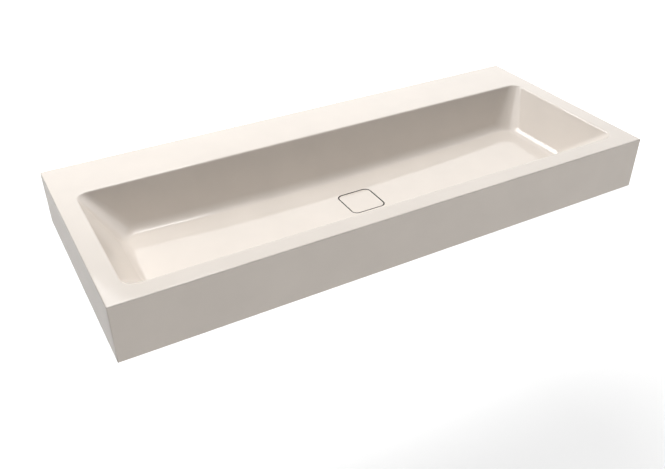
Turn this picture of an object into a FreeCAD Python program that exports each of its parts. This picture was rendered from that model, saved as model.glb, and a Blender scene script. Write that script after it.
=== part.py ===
"""A long rectangular wall-hung washbasin of enamelled sheet steel, with its waste and its wall fixings.

Millimetres, +Z up. The wall is the plane y = 0 and the basin stands out from it towards -Y.
The origin lies on the wall plane, midway between the two hanger bolts.
"""

import FreeCAD, Part

import math
import os

from FreeCAD import Vector

# Basin shell, outside
BASIN_LENGTH = 1200.0
BASIN_DEPTH = 500.0
BASIN_HEIGHT = 120.0
SHEET = 2.5
OUTER_EDGE_RADIUS = 2.4
RETURN_FLANGE_WIDTH = 10.0
RETURN_CORNER_RADIUS = 6.0

# Bowl: its rim, its leaning walls and the floor that falls to the drain
SIDE_DECK = 40.0
FRONT_DECK = 40.0
BACK_DECK_SHARE = 0.25
FLOOR_RISE = 28.0
SIDE_LEAN_DEGREES = 35.0
BACK_LEAN_DEGREES = 32.0
FRONT_LEAN_DEGREES = 40.0
RIM_CORNER_RADIUS = 25.0
FLOOR_CORNER_RADIUS = 55.0
LIP_RADIUS = 6.0
FLOOR_FILLET_RADIUS = 30.0
FLOOR_END_RISE = 10.5
FLOOR_SIDE_RISE = 2.0

# Drain recess pressed into the floor, and its hole
RECESS_DEPTH = 14.0
RECESS_BEND_RADIUS = 4.0
RECESS_EDGE_RADIUS = 1.2
RECESS_MARGIN = 5.0
DRAIN_HOLE_RADIUS = 23.0

# Drain cover, the nut welded under it and its feet
COVER_SIDE = 77.0
COVER_CORNER_RADIUS = 12.0
COVER_GAP = 2.0
COVER_SKIRT_DEPTH = 6.0
COVER_CHAMFER = 0.8
BOSS_RADIUS = 6.0
BOSS_HEIGHT = 4.0
FOOT_RADIUS = 3.2
FOOT_COUNT = 4

# Stem under the cover, its screw and its ring
STEM_COLLAR_RADIUS = 10.0
STEM_COLLAR_HEIGHT = 3.0
STEM_OVERHANG = 4.0
STEM_CHAMFER = 1.0
STEM_CLEARANCE = 0.3
RING_HEIGHT = 2.0
RING_WIDTH = 1.8
RING_CLEARANCE = 0.1
SCREW_RADIUS = 2.5
SCREW_BITE = 3.2
SCREW_HEAD_RADIUS = 4.25
SCREW_HEAD_HEIGHT = 3.0
SCREW_SLOT_WIDTH = 1.2
SCREW_SLOT_DEPTH = 1.3
SCREW_CLEARANCE = 0.1

# Waste body: flange, funnel, cross with hub, and the tail that the trap screws on to
FLANGE_RADIUS = 32.0
FLANGE_THICKNESS = 2.5
FLANGE_CHAMFER = 0.8
FUNNEL_RADIUS = 22.0
WASTE_BORE_RADIUS = 18.0
WASTE_THREAD_RADIUS = 20.955
TAIL_LENGTH = 36.0
TAIL_CHAMFER = 1.0
RELIEF_WIDTH = 3.0
RELIEF_DEPTH = 1.5
NUT_RUN_OUT = 2.0
HUB_DROP = 3.0
HUB_RADIUS = 9.0
HUB_BORE_RADIUS = 6.0
HUB_HEIGHT = 10.0
SPOKE_WIDTH = 3.0
SPOKE_HEIGHT = 6.0
SPOKE_COUNT = 4

# Seals and nut that clamp the waste body to the bowl
FLANGE_GASKET_RADIUS = 30.5
FLANGE_GASKET_THICKNESS = 2.0
LOWER_GASKET_RADIUS = 33.0
LOWER_GASKET_THICKNESS = 5.0
LOWER_GASKET_TAPER = 2.5
SLIP_WASHER_RADIUS = 30.0
SLIP_WASHER_THICKNESS = 1.5
LOCK_NUT_FLATS = 55.0
LOCK_NUT_HEIGHT = 9.0
THREAD_CLEARANCE = 0.15

# Sound-deadening pads stuck under the floor, one each side of the drain
PAD_THICKNESS = 3.0
PAD_BOND = 0.2
PAD_DRAIN_DISTANCE = 110.0
PAD_END_MARGIN = 86.0
PAD_SIDE_MARGIN = 19.0
PAD_CORNER_RADIUS = 12.0

# Wall rail, hanger bolts and what is threaded on them
STUD_SPACING = 700.0
STUD_DROP = 45.0
STUD_RADIUS = 5.0
STUD_WALL_RADIUS = 4.75
STUD_NECK_RADIUS = 4.3
STUD_NECK_LENGTH = 6.0
STUD_IN_WALL = 70.0
STUD_POINT_LENGTH = 12.0
STUD_POINT_RADIUS = 1.0
STUD_SPARE_THREAD = 10.0
STUD_CHAMFER = 1.0
RAIL_END_LENGTH = 60.0
RAIL_HEIGHT = 64.0
RAIL_DEPTH = 26.0
RAIL_THICKNESS = 3.0
RAIL_BEND_RADIUS = 3.0
FIXING_HOLE_RADIUS = 8.0
SLEEVE_FLANGE_RADIUS = 17.0
SLEEVE_FLANGE_THICKNESS = 4.0
SLEEVE_CLEARANCE = 0.1
STUD_CLEARANCE = 0.2
WASHER_RADIUS = 14.0
WASHER_THICKNESS = 2.5
NUT_FLATS = 17.0
NUT_HEIGHT = 8.0

# How far a cutting solid runs past what it cuts
OVERRUN = 10.0

# How much of the corner radius the floor fillet may take up
FILLET_LIMIT_SHARE = 0.85

# Places that follow from the sizes above
DECK_TOP = STUD_DROP
DECK_UNDERSIDE = DECK_TOP - SHEET
APRON_BOTTOM = DECK_TOP - BASIN_HEIGHT
DRAIN_FLOOR = APRON_BOTTOM + FLOOR_RISE
BOWL_DEPTH = DECK_TOP - DRAIN_FLOOR
BOWL_HALF_LENGTH = BASIN_LENGTH / 2 - SIDE_DECK
BOWL_BACK = -BACK_DECK_SHARE * BASIN_DEPTH
BOWL_FRONT = FRONT_DECK - BASIN_DEPTH
SIDE_LEAN = math.radians(SIDE_LEAN_DEGREES)
BACK_LEAN = math.radians(BACK_LEAN_DEGREES)
FRONT_LEAN = math.radians(FRONT_LEAN_DEGREES)
DRAIN_Y = (BOWL_BACK + BOWL_FRONT) / 2
RECESS_FLOOR = DRAIN_FLOOR - RECESS_DEPTH
RECESS_SIDE = COVER_SIDE + 2 * COVER_GAP
RECESS_CORNER_RADIUS = COVER_CORNER_RADIUS + COVER_GAP
COVER_UNDERSIDE = DRAIN_FLOOR - SHEET
FLANGE_SEAT = RECESS_FLOOR + FLANGE_GASKET_THICKNESS
FLANGE_TOP = FLANGE_SEAT + FLANGE_THICKNESS
HUB_TOP = FLANGE_SEAT - HUB_DROP
HUB_BOTTOM = HUB_TOP - HUB_HEIGHT
LOWER_GASKET_TOP = RECESS_FLOOR - SHEET
SLIP_WASHER_TOP = LOWER_GASKET_TOP - LOWER_GASKET_THICKNESS
LOCK_NUT_TOP = SLIP_WASHER_TOP - SLIP_WASHER_THICKNESS
LOCK_NUT_BOTTOM = LOCK_NUT_TOP - LOCK_NUT_HEIGHT
RELIEF_TOP = LOCK_NUT_BOTTOM - NUT_RUN_OUT
TAIL_TOP = RELIEF_TOP - RELIEF_WIDTH
TAIL_END = TAIL_TOP - TAIL_LENGTH
THREAD_HOLE_RADIUS = WASTE_THREAD_RADIUS + THREAD_CLEARANCE
BOSS_BOTTOM = COVER_UNDERSIDE - BOSS_HEIGHT
STEM_RADIUS = HUB_BORE_RADIUS - STEM_CLEARANCE
STEM_BOTTOM = HUB_BOTTOM - STEM_OVERHANG
SCREW_HOLE_RADIUS = SCREW_RADIUS + SCREW_CLEARANCE
RING_OUTER_RADIUS = HUB_BORE_RADIUS - RING_CLEARANCE
RING_INNER_RADIUS = RING_OUTER_RADIUS - RING_WIDTH
RING_BOTTOM = HUB_BOTTOM + (HUB_HEIGHT - RING_HEIGHT) / 2
RING_TOP = RING_BOTTOM + RING_HEIGHT
RAIL_FACE = -(SHEET + RAIL_THICKNESS)
SLEEVE_FACE = RAIL_FACE - SLEEVE_FLANGE_THICKNESS
WASHER_FACE = SLEEVE_FACE - WASHER_THICKNESS
NUT_FACE = WASHER_FACE - NUT_HEIGHT
STUD_END = NUT_FACE - STUD_SPARE_THREAD

RIGHT = Vector(1, 0, 0)
TO_WALL = Vector(0, 1, 0)
UP = Vector(0, 0, 1)
DRAIN_AXIS = Vector(0, DRAIN_Y, 0)
FULL_TURN_DEGREES = 360.0
HEXAGON_SIDES = 6


def rounded_rectangle(left, right, front, back, radius, height):
    """Closed level wire with four equal round corners."""
    bulge = radius * (1 - math.sqrt(0.5))
    corners = ((right, back, 1, 1), (left, back, -1, 1), (left, front, -1, -1), (right, front, 1, -1))
    arcs = []
    for x, y, to_x, to_y in corners:
        on_side = Vector(x, y - to_y * radius, height)
        middle = Vector(x - to_x * bulge, y - to_y * bulge, height)
        on_end = Vector(x - to_x * radius, y, height)
        arcs.append((on_side, middle, on_end) if to_x == to_y else (on_end, middle, on_side))
    edges = []
    for (start, middle, stop), following in zip(arcs, arcs[1:] + arcs[:1]):
        edges.append(Part.Arc(start, middle, stop).toShape())
        edges.append(Part.LineSegment(stop, following[0]).toShape())
    return Part.Wire(edges)


def rounded_prism(left, right, front, back, radius, bottom, top):
    """Upright solid with four round corners."""
    outline = rounded_rectangle(left, right, front, back, radius, bottom)
    return Part.Face(outline).extrude(UP * (top - bottom))


def drain_prism(side, radius, bottom, top):
    """Upright rounded square centred on the drain."""
    half = side / 2
    return rounded_prism(-half, half, DRAIN_Y - half, DRAIN_Y + half, radius, bottom, top)


def box(left, right, front, back, bottom, top):
    """Plain block between six planes."""
    return Part.makeBox(right - left, back - front, top - bottom, Vector(left, front, bottom))


def turned(profile, base=DRAIN_AXIS, axis=UP):
    """Solid of revolution. The profile is a list of (radius, distance along the axis) pairs."""
    points = [base + RIGHT * radius + axis * along for radius, along in profile]
    outline = Part.makePolygon(points + points[:1])
    return Part.Face(outline).revolve(base, axis, FULL_TURN_DEGREES)


def ring(inner, outer, start, stop, base=DRAIN_AXIS, axis=UP):
    """Flat ring between two distances along the axis."""
    return turned([(inner, start), (outer, start), (outer, stop), (inner, stop)], base, axis)


def hexagon_nut(flats, hole_radius, start, stop, base=DRAIN_AXIS, axis=UP):
    """Hexagon nut with the corners of both ends turned off."""
    corner = flats / math.sqrt(3)
    across = axis.cross(RIGHT)
    points = []
    for index in range(HEXAGON_SIDES):
        angle = 2 * math.pi * index / HEXAGON_SIDES
        spread = RIGHT * (corner * math.cos(angle)) + across * (corner * math.sin(angle))
        points.append(base + axis * start + spread)
    prism = Part.Face(Part.makePolygon(points + points[:1])).extrude(axis * (stop - start))
    bevel = (corner - flats / 2) / 2
    low, high = min(start, stop), max(start, stop)
    turning = turned(
        [
            (hole_radius, low),
            (flats / 2, low),
            (corner, low + bevel),
            (corner, high - bevel),
            (flats / 2, high),
            (hole_radius, high),
        ],
        base,
        axis,
    )
    return prism.common(turning)


def stud_places():
    """Where the two hanger bolts cross the wall plane."""
    return [RIGHT * (side * STUD_SPACING / 2) for side in (-1, 1)]


def per_stud(make):
    """One copy of a piece on each hanger bolt."""
    return Part.makeCompound([make(place) for place in stud_places()])


def fixing_holes():
    """Round cutters for both hanger bolts, through the back apron and the wall rail."""
    length = SHEET + RAIL_DEPTH + OVERRUN
    start = TO_WALL * OVERRUN
    return per_stud(lambda place: Part.makeCylinder(FIXING_HOLE_RADIUS, length, place + start, -TO_WALL))


def wall_run(lean):
    """How far a leaning wall comes in between the deck and the drain."""
    return BOWL_DEPTH * math.tan(lean)


def fillet_reach(radius, lean):
    """How far a fillet of this radius runs out over the floor from the foot of a leaning wall."""
    return radius * math.tan((math.pi / 2 - lean) / 2)


def floor_fillet_radius():
    """Radius between walls and floor, less where the corners or the drain recess leave too little room."""
    recess_front = DRAIN_Y - RECESS_SIDE / 2 - RECESS_MARGIN
    room = recess_front - BOWL_FRONT - wall_run(FRONT_LEAN)
    largest_at_recess = room / fillet_reach(1, FRONT_LEAN)
    return min(FLOOR_FILLET_RADIUS, FILLET_LIMIT_SHARE * FLOOR_CORNER_RADIUS, largest_at_recess)


def bowl_walls(growth):
    """The space between the four leaning walls, grown outwards, with no floor yet."""
    leans = (SIDE_LEAN, FRONT_LEAN, BACK_LEAN)
    radius_rate = (FLOOR_CORNER_RADIUS - RIM_CORNER_RADIUS) / BOWL_DEPTH
    sections = []
    for height in (DRAIN_FLOOR - growth - OVERRUN, DECK_TOP + OVERRUN):
        drop = DECK_TOP - height
        side, front, back = [drop * math.tan(lean) - growth / math.cos(lean) for lean in leans]
        half = BOWL_HALF_LENGTH - side
        radius = RIM_CORNER_RADIUS + drop * radius_rate + growth
        sections.append(rounded_rectangle(-half, half, BOWL_FRONT + front, BOWL_BACK - back, radius, height))
    return Part.makeLoft(sections, True, True)


def arc_radius(half_span, rise):
    """Radius of an arc that rises this much at half its span from its lowest point."""
    return (half_span**2 + rise**2) / (2 * rise)


def space_over_floor(growth):
    """Everything above the dished floor: an arc along the basin, swung about an axis high above it."""
    half_width = (BOWL_BACK - BOWL_FRONT) / 2
    half_length = BASIN_LENGTH / 2
    along_radius = arc_radius(BOWL_HALF_LENGTH, FLOOR_END_RISE) + growth
    across_radius = arc_radius(half_width, FLOOR_SIDE_RISE)
    lowest = DRAIN_FLOOR - growth
    end_height = lowest + along_radius - math.sqrt(along_radius**2 - half_length**2)
    roof = DECK_TOP + 2 * OVERRUN
    left_end = Vector(-half_length, DRAIN_Y, end_height)
    right_end = Vector(half_length, DRAIN_Y, end_height)
    left_top = Vector(-half_length, DRAIN_Y, roof)
    right_top = Vector(half_length, DRAIN_Y, roof)
    floor_line = Part.Arc(left_end, Vector(0, DRAIN_Y, lowest), right_end).toShape()
    other_lines = Part.makePolygon([right_end, right_top, left_top, left_end]).Edges
    profile = Part.Face(Part.Wire([floor_line] + other_lines))
    pivot = Vector(0, DRAIN_Y, DRAIN_FLOOR + across_radius)
    swing = math.degrees(2 * math.asin((half_width + 2 * OVERRUN) / (across_radius - (roof - DRAIN_FLOOR))))
    profile.rotate(pivot, RIGHT, -swing / 2)
    return profile.revolve(pivot, RIGHT, swing)


def floor_faces(shape):
    """The dished faces of a shape, lowest first."""
    dished = [face for face in shape.Faces if isinstance(face.Surface, Part.SurfaceOfRevolution)]
    return sorted(dished, key=lambda face: face.CenterOfMass.z)


def bowl_plug(growth):
    """Solid that fills the bowl to above its rim, grown outwards."""
    plug = bowl_walls(growth).common(space_over_floor(growth))
    return plug.makeFillet(floor_fillet_radius() + growth, floor_faces(plug)[0].Edges)


def recess_plug(growth):
    """Solid that fills the square drain recess and reaches up into the bowl, grown outwards."""
    prism = drain_prism(
        RECESS_SIDE + 2 * growth,
        RECESS_CORNER_RADIUS + growth,
        RECESS_FLOOR - growth,
        DRAIN_FLOOR + OVERRUN,
    )
    foot = min(prism.Faces, key=lambda face: face.CenterOfMass.z)
    return prism.makeFillet(RECESS_BEND_RADIUS + growth, foot.Edges)


def outer_block():
    """The basin's outside as a full block with its top and upright edges softened."""
    half = BASIN_LENGTH / 2
    block = box(-half, half, -BASIN_DEPTH, 0, APRON_BOTTOM, DECK_TOP)
    soft_edges = [edge for edge in block.Edges if edge.BoundBox.ZMax > DECK_UNDERSIDE]
    return block.makeFillet(OUTER_EDGE_RADIUS, soft_edges)


def outer_layer(bottom, top):
    """Slice of the outside block between two heights."""
    half = BASIN_LENGTH / 2
    return outer_block().common(box(-half, half, -BASIN_DEPTH, 0, bottom, top))


def under_space():
    """The hollow inside the skirt, open below."""
    half = BASIN_LENGTH / 2 - SHEET
    return box(-half, half, SHEET - BASIN_DEPTH, -SHEET, APRON_BOTTOM - OVERRUN, DECK_UNDERSIDE)


def hole_edges(face):
    """Edges of the one hole in a face."""
    return [wire for wire in face.Wires if not wire.isSame(face.OuterWire)][0].Edges


def hollow_round_bowl():
    """The hollow that is left inside the skirt once the bowl hangs in it."""
    hollow = under_space().cut(bowl_plug(SHEET).fuse(recess_plug(SHEET)))
    ceiling = max(hollow.Faces, key=lambda face: face.CenterOfMass.z)
    return hollow.makeFillet(LIP_RADIUS - SHEET, hole_edges(ceiling))


def bowl_pressing():
    """Deck and bowl, drawn from one sheet: an even wall that turns over the lip and dips to the drain."""
    bowl_outside = under_space().cut(hollow_round_bowl())
    pressing = outer_layer(DECK_UNDERSIDE, DECK_TOP).fuse(bowl_outside).removeSplitter()
    pressing = pressing.cut(bowl_plug(0)).cut(recess_plug(0))
    drain_start = DRAIN_AXIS + UP * (RECESS_FLOOR - SHEET - OVERRUN)
    pressing = pressing.cut(Part.makeCylinder(DRAIN_HOLE_RADIUS, SHEET + 2 * OVERRUN, drain_start, UP))
    deck = max(pressing.Faces, key=lambda face: face.CenterOfMass.z)
    pressing = pressing.makeFillet(LIP_RADIUS, hole_edges(deck))
    return pressing.makeFillet(RECESS_EDGE_RADIUS, hole_edges(floor_faces(pressing)[-1]))


def apron_skirt():
    """Four upright walls of sheet, welded under the edge of the deck."""
    return outer_layer(APRON_BOTTOM, DECK_UNDERSIDE).cut(under_space()).cut(fixing_holes())


def return_flange():
    """Flat frame welded inside the foot of the skirt, which keeps it straight."""
    half = BASIN_LENGTH / 2 - SHEET
    front, back = SHEET - BASIN_DEPTH, -SHEET
    top = APRON_BOTTOM + SHEET
    lip = RETURN_FLANGE_WIDTH
    way_out = rounded_prism(
        lip - half,
        half - lip,
        front + lip,
        back - lip,
        RETURN_CORNER_RADIUS,
        APRON_BOTTOM - OVERRUN,
        top + OVERRUN,
    )
    return box(-half, half, front, back, APRON_BOTTOM, top).cut(way_out)


def sound_pad(side):
    """Mat that follows the curve of the floor's underside, clear of the fillets round it."""
    fillet = floor_fillet_radius()
    near = PAD_DRAIN_DISTANCE
    far = BOWL_HALF_LENGTH - wall_run(SIDE_LEAN) - fillet_reach(fillet, SIDE_LEAN) - PAD_END_MARGIN
    left, right = (near, far) if side > 0 else (-far, -near)
    front = BOWL_FRONT + wall_run(FRONT_LEAN) + fillet_reach(fillet, FRONT_LEAN) + PAD_SIDE_MARGIN
    back = BOWL_BACK - wall_run(BACK_LEAN) - fillet_reach(fillet, BACK_LEAN) - PAD_SIDE_MARGIN
    outline = rounded_prism(left, right, front, back, PAD_CORNER_RADIUS, APRON_BOTTOM, DECK_TOP)
    bonded = SHEET + PAD_BOND
    layer = space_over_floor(bonded + PAD_THICKNESS).cut(space_over_floor(bonded))
    return outline.common(layer)


def wall_rail():
    """C-channel against the inside of the back apron that both hanger bolts pass through."""
    half = STUD_SPACING / 2 + RAIL_END_LENGTH
    tall = RAIL_HEIGHT / 2
    front, back = -(SHEET + RAIL_DEPTH), -SHEET
    outside = bent_block(half, front, back, tall, RAIL_BEND_RADIUS + RAIL_THICKNESS)
    inside = bent_block(
        half + OVERRUN, front - OVERRUN, back - RAIL_THICKNESS, tall - RAIL_THICKNESS, RAIL_BEND_RADIUS
    )
    return outside.cut(inside).cut(fixing_holes())


def bent_block(half_length, front, back, half_height, radius):
    """Block whose two long edges towards the wall are rounded as by bending."""
    block = box(-half_length, half_length, front, back, -half_height, half_height)
    wall_side = max(block.Faces, key=lambda face: face.CenterOfMass.y)
    long_edges = [edge for edge in wall_side.Edges if edge.Length > half_length]
    return block.makeFillet(radius, long_edges)


def hanger_bolts():
    """Threaded studs: pointed in the wall, necked where they leave it, chamfered at the nut end."""
    profile = [
        (0, STUD_END),
        (STUD_RADIUS - STUD_CHAMFER, STUD_END),
        (STUD_RADIUS, STUD_END + STUD_CHAMFER),
        (STUD_RADIUS, -STUD_NECK_LENGTH),
        (STUD_NECK_RADIUS, -STUD_NECK_LENGTH),
        (STUD_NECK_RADIUS, 0),
        (STUD_WALL_RADIUS, 0),
        (STUD_WALL_RADIUS, STUD_IN_WALL - STUD_POINT_LENGTH),
        (STUD_POINT_RADIUS, STUD_IN_WALL),
        (0, STUD_IN_WALL),
    ]
    return per_stud(lambda place: turned(profile, place, TO_WALL))


def bolt_sleeves():
    """Flanged bushes that keep the bolts off the enamel."""
    bore = STUD_RADIUS + STUD_CLEARANCE
    shank = FIXING_HOLE_RADIUS - SLEEVE_CLEARANCE
    profile = [
        (bore, 0),
        (shank, 0),
        (shank, RAIL_FACE),
        (SLEEVE_FLANGE_RADIUS, RAIL_FACE),
        (SLEEVE_FLANGE_RADIUS, SLEEVE_FACE),
        (bore, SLEEVE_FACE),
    ]
    return per_stud(lambda place: turned(profile, place, TO_WALL))


def bolt_washers():
    """Flat washers on the sleeves."""
    bore = STUD_RADIUS + STUD_CLEARANCE
    return per_stud(lambda place: ring(bore, WASHER_RADIUS, SLEEVE_FACE, WASHER_FACE, place, TO_WALL))


def bolt_nuts():
    """Hexagon nuts that draw the basin to the wall."""
    bore = STUD_RADIUS + THREAD_CLEARANCE
    return per_stud(lambda place: hexagon_nut(NUT_FLATS, bore, WASHER_FACE, NUT_FACE, place, TO_WALL))


def waste_body():
    """One casting: flange, funnel, threaded tail, and a cross that holds the stem's hub."""
    relief = WASTE_THREAD_RADIUS - RELIEF_DEPTH
    casting = turned(
        [
            (FUNNEL_RADIUS, FLANGE_TOP),
            (FLANGE_RADIUS - FLANGE_CHAMFER, FLANGE_TOP),
            (FLANGE_RADIUS, FLANGE_TOP - FLANGE_CHAMFER),
            (FLANGE_RADIUS, FLANGE_SEAT),
            (WASTE_THREAD_RADIUS, FLANGE_SEAT),
            (WASTE_THREAD_RADIUS, RELIEF_TOP),
            (relief, RELIEF_TOP),
            (relief, TAIL_TOP),
            (WASTE_THREAD_RADIUS, TAIL_TOP),
            (WASTE_THREAD_RADIUS, TAIL_END),
            (WASTE_THREAD_RADIUS - TAIL_CHAMFER, TAIL_END - TAIL_CHAMFER),
            (WASTE_BORE_RADIUS, TAIL_END - TAIL_CHAMFER),
            (WASTE_BORE_RADIUS, FLANGE_SEAT),
        ]
    )
    hub = ring(HUB_BORE_RADIUS, HUB_RADIUS, HUB_BOTTOM, HUB_TOP)
    hub_middle = (HUB_BORE_RADIUS + HUB_RADIUS) / 2
    wall_middle = (WASTE_BORE_RADIUS + WASTE_THREAD_RADIUS) / 2
    for index in range(SPOKE_COUNT):
        spoke = box(
            hub_middle, wall_middle, -SPOKE_WIDTH / 2, SPOKE_WIDTH / 2, HUB_BOTTOM, HUB_BOTTOM + SPOKE_HEIGHT
        )
        spoke.rotate(Vector(0, 0, 0), UP, FULL_TURN_DEGREES * index / SPOKE_COUNT)
        spoke.translate(DRAIN_AXIS)
        hub = hub.fuse(spoke)
    return casting.fuse(hub).removeSplitter()


def flange_gasket():
    """Flat seal between the waste's flange and the recess."""
    return ring(THREAD_HOLE_RADIUS, FLANGE_GASKET_RADIUS, RECESS_FLOOR, FLANGE_SEAT)


def lower_gasket():
    """Tapered seal pressed against the underside of the recess."""
    return turned(
        [
            (THREAD_HOLE_RADIUS, LOWER_GASKET_TOP),
            (LOWER_GASKET_RADIUS, LOWER_GASKET_TOP),
            (LOWER_GASKET_RADIUS, LOWER_GASKET_TOP - LOWER_GASKET_TAPER),
            (LOWER_GASKET_RADIUS - LOWER_GASKET_TAPER, SLIP_WASHER_TOP),
            (THREAD_HOLE_RADIUS, SLIP_WASHER_TOP),
        ]
    )


def slip_washer():
    """Thin ring that lets the lock nut turn without dragging the seal."""
    return ring(THREAD_HOLE_RADIUS, SLIP_WASHER_RADIUS, LOCK_NUT_TOP, SLIP_WASHER_TOP)


def lock_nut():
    """Large hexagon nut that clamps the waste body to the bowl."""
    return hexagon_nut(LOCK_NUT_FLATS, THREAD_HOLE_RADIUS, LOCK_NUT_BOTTOM, LOCK_NUT_TOP)


def drain_cover():
    """Enamelled square tray, turned over, flush with the floor."""
    bottom = DRAIN_FLOOR - COVER_SKIRT_DEPTH
    tray = drain_prism(COVER_SIDE, COVER_CORNER_RADIUS, bottom, DRAIN_FLOOR)
    top = max(tray.Faces, key=lambda face: face.CenterOfMass.z)
    tray = tray.makeChamfer(COVER_CHAMFER, top.Edges)
    hollow_corner = COVER_CORNER_RADIUS - SHEET
    hollow = drain_prism(COVER_SIDE - 2 * SHEET, hollow_corner, bottom - OVERRUN, COVER_UNDERSIDE)
    return tray.cut(hollow)


def cover_boss():
    """Round nut welded to the underside of the cover."""
    return ring(SCREW_HOLE_RADIUS, BOSS_RADIUS, BOSS_BOTTOM, COVER_UNDERSIDE)


def cover_feet():
    """Rubber feet that stand on the waste's flange."""
    circle = (FUNNEL_RADIUS + FLANGE_RADIUS - FLANGE_CHAMFER) / 2
    feet = []
    for index in range(FOOT_COUNT):
        angle = math.pi * (2 * index + 1) / FOOT_COUNT
        place = DRAIN_AXIS + RIGHT * (circle * math.cos(angle)) + TO_WALL * (circle * math.sin(angle))
        feet.append(Part.makeCylinder(FOOT_RADIUS, COVER_UNDERSIDE - FLANGE_TOP, place + UP * FLANGE_TOP, UP))
    return Part.makeCompound(feet)


def cover_stem():
    """Guide pin under the cover, with a collar and a groove for its ring."""
    groove_top = RING_TOP + RING_CLEARANCE
    groove_bottom = RING_BOTTOM - RING_CLEARANCE
    collar_bottom = BOSS_BOTTOM - STEM_COLLAR_HEIGHT
    return turned(
        [
            (SCREW_HOLE_RADIUS, BOSS_BOTTOM),
            (STEM_COLLAR_RADIUS, BOSS_BOTTOM),
            (STEM_COLLAR_RADIUS, collar_bottom),
            (STEM_RADIUS, collar_bottom),
            (STEM_RADIUS, groove_top),
            (RING_INNER_RADIUS, groove_top),
            (RING_INNER_RADIUS, groove_bottom),
            (STEM_RADIUS, groove_bottom),
            (STEM_RADIUS, STEM_BOTTOM + STEM_CHAMFER),
            (STEM_RADIUS - STEM_CHAMFER, STEM_BOTTOM),
            (SCREW_HOLE_RADIUS, STEM_BOTTOM),
        ]
    )


def stem_ring():
    """Square-section ring that steadies the stem in its hub."""
    return ring(RING_INNER_RADIUS, RING_OUTER_RADIUS, RING_BOTTOM, RING_TOP)


def stem_screw():
    """Slotted screw that holds the stem to the cover from below."""
    head_bottom = STEM_BOTTOM - SCREW_HEAD_HEIGHT
    screw = turned(
        [
            (0, BOSS_BOTTOM + SCREW_BITE),
            (SCREW_RADIUS, BOSS_BOTTOM + SCREW_BITE),
            (SCREW_RADIUS, STEM_BOTTOM),
            (SCREW_HEAD_RADIUS, STEM_BOTTOM),
            (SCREW_HEAD_RADIUS, head_bottom),
            (0, head_bottom),
        ]
    )
    reach = SCREW_HEAD_RADIUS + OVERRUN
    slot = box(
        -reach,
        reach,
        DRAIN_Y - SCREW_SLOT_WIDTH / 2,
        DRAIN_Y + SCREW_SLOT_WIDTH / 2,
        head_bottom - OVERRUN,
        head_bottom + SCREW_SLOT_DEPTH,
    )
    return screw.cut(slot)


NODES = {
    "bowl_pressing": bowl_pressing,
    "apron_skirt": apron_skirt,
    "return_flange": return_flange,
    "sound_pad_left": lambda: sound_pad(-1),
    "sound_pad_right": lambda: sound_pad(1),
    "wall_rail": wall_rail,
    "hanger_bolts": hanger_bolts,
    "bolt_sleeves": bolt_sleeves,
    "bolt_washers": bolt_washers,
    "bolt_nuts": bolt_nuts,
    "waste_body": waste_body,
    "flange_gasket": flange_gasket,
    "lower_gasket": lower_gasket,
    "slip_washer": slip_washer,
    "lock_nut": lock_nut,
    "drain_cover": drain_cover,
    "cover_boss": cover_boss,
    "cover_feet": cover_feet,
    "cover_stem": cover_stem,
    "stem_ring": stem_ring,
    "stem_screw": stem_screw,
}


def main():
    os.makedirs("parts", exist_ok=True)
    for name, make in NODES.items():
        shape = make()
        print(f"{name}: {len(shape.Solids)} solid(s), valid {shape.isValid()}, {shape.Volume:.0f} mm3")
        shape.exportStep(f"parts/{name}.step")


if __name__ == "__main__":
    main()
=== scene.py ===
"""Looks of a long rectangular wall-hung washbasin of enamelled steel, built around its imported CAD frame.

Metres, +Z up. The wall is the plane y = 0 and the basin stands out from it towards -Y.
"""

import math
from collections import namedtuple

import bmesh
import bpy
from bpy.props import FloatProperty, FloatVectorProperty, IntProperty, PointerProperty
from mathutils import Euler, Matrix, Vector


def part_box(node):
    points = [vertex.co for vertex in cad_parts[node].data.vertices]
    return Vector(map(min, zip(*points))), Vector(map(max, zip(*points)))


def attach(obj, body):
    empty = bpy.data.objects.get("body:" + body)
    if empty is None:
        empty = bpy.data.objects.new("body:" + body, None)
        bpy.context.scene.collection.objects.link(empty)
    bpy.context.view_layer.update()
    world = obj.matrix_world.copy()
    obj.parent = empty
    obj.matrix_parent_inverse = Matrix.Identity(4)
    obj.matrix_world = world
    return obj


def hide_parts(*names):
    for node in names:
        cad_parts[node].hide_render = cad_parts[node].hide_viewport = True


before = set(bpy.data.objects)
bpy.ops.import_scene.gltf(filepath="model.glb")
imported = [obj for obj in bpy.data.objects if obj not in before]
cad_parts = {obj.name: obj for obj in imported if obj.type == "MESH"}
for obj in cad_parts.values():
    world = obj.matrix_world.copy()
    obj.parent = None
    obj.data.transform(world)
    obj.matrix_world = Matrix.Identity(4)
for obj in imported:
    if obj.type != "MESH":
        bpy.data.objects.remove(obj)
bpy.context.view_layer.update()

bl_info = {
    "name": "Washbasin looks",
    "version": (1, 0, 0),
    "blender": (4, 5, 0),
    "location": "3D View > Sidebar > Washbasin",
    "description": "Builds the visible pieces, finishes and stage of a wall-hung washbasin",
    "category": "Object",
}

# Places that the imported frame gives
PRESSING_LOW, PRESSING_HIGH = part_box("bowl_pressing")
APRON_LOW, APRON_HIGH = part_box("apron_skirt")
COVER_LOW, COVER_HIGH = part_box("drain_cover")
WASTE_LOW, WASTE_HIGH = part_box("waste_body")
STUDS_LOW, STUDS_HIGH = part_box("hanger_bolts")
DECK_TOP = PRESSING_HIGH.z
DECK_UNDERSIDE = APRON_HIGH.z
SHEET = DECK_TOP - DECK_UNDERSIDE
HALF_LENGTH = PRESSING_HIGH.x
FRONT = PRESSING_LOW.y
BACK = PRESSING_HIGH.y
APRON_BOTTOM = APRON_LOW.z
DRAIN = Vector(((COVER_LOW.x + COVER_HIGH.x) / 2, (COVER_LOW.y + COVER_HIGH.y) / 2, 0))
DRAIN_FLOOR = COVER_HIGH.z
BOWL_DEPTH = DECK_TOP - DRAIN_FLOOR
COVER_HALF = (COVER_HIGH.x - COVER_LOW.x) / 2
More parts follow.
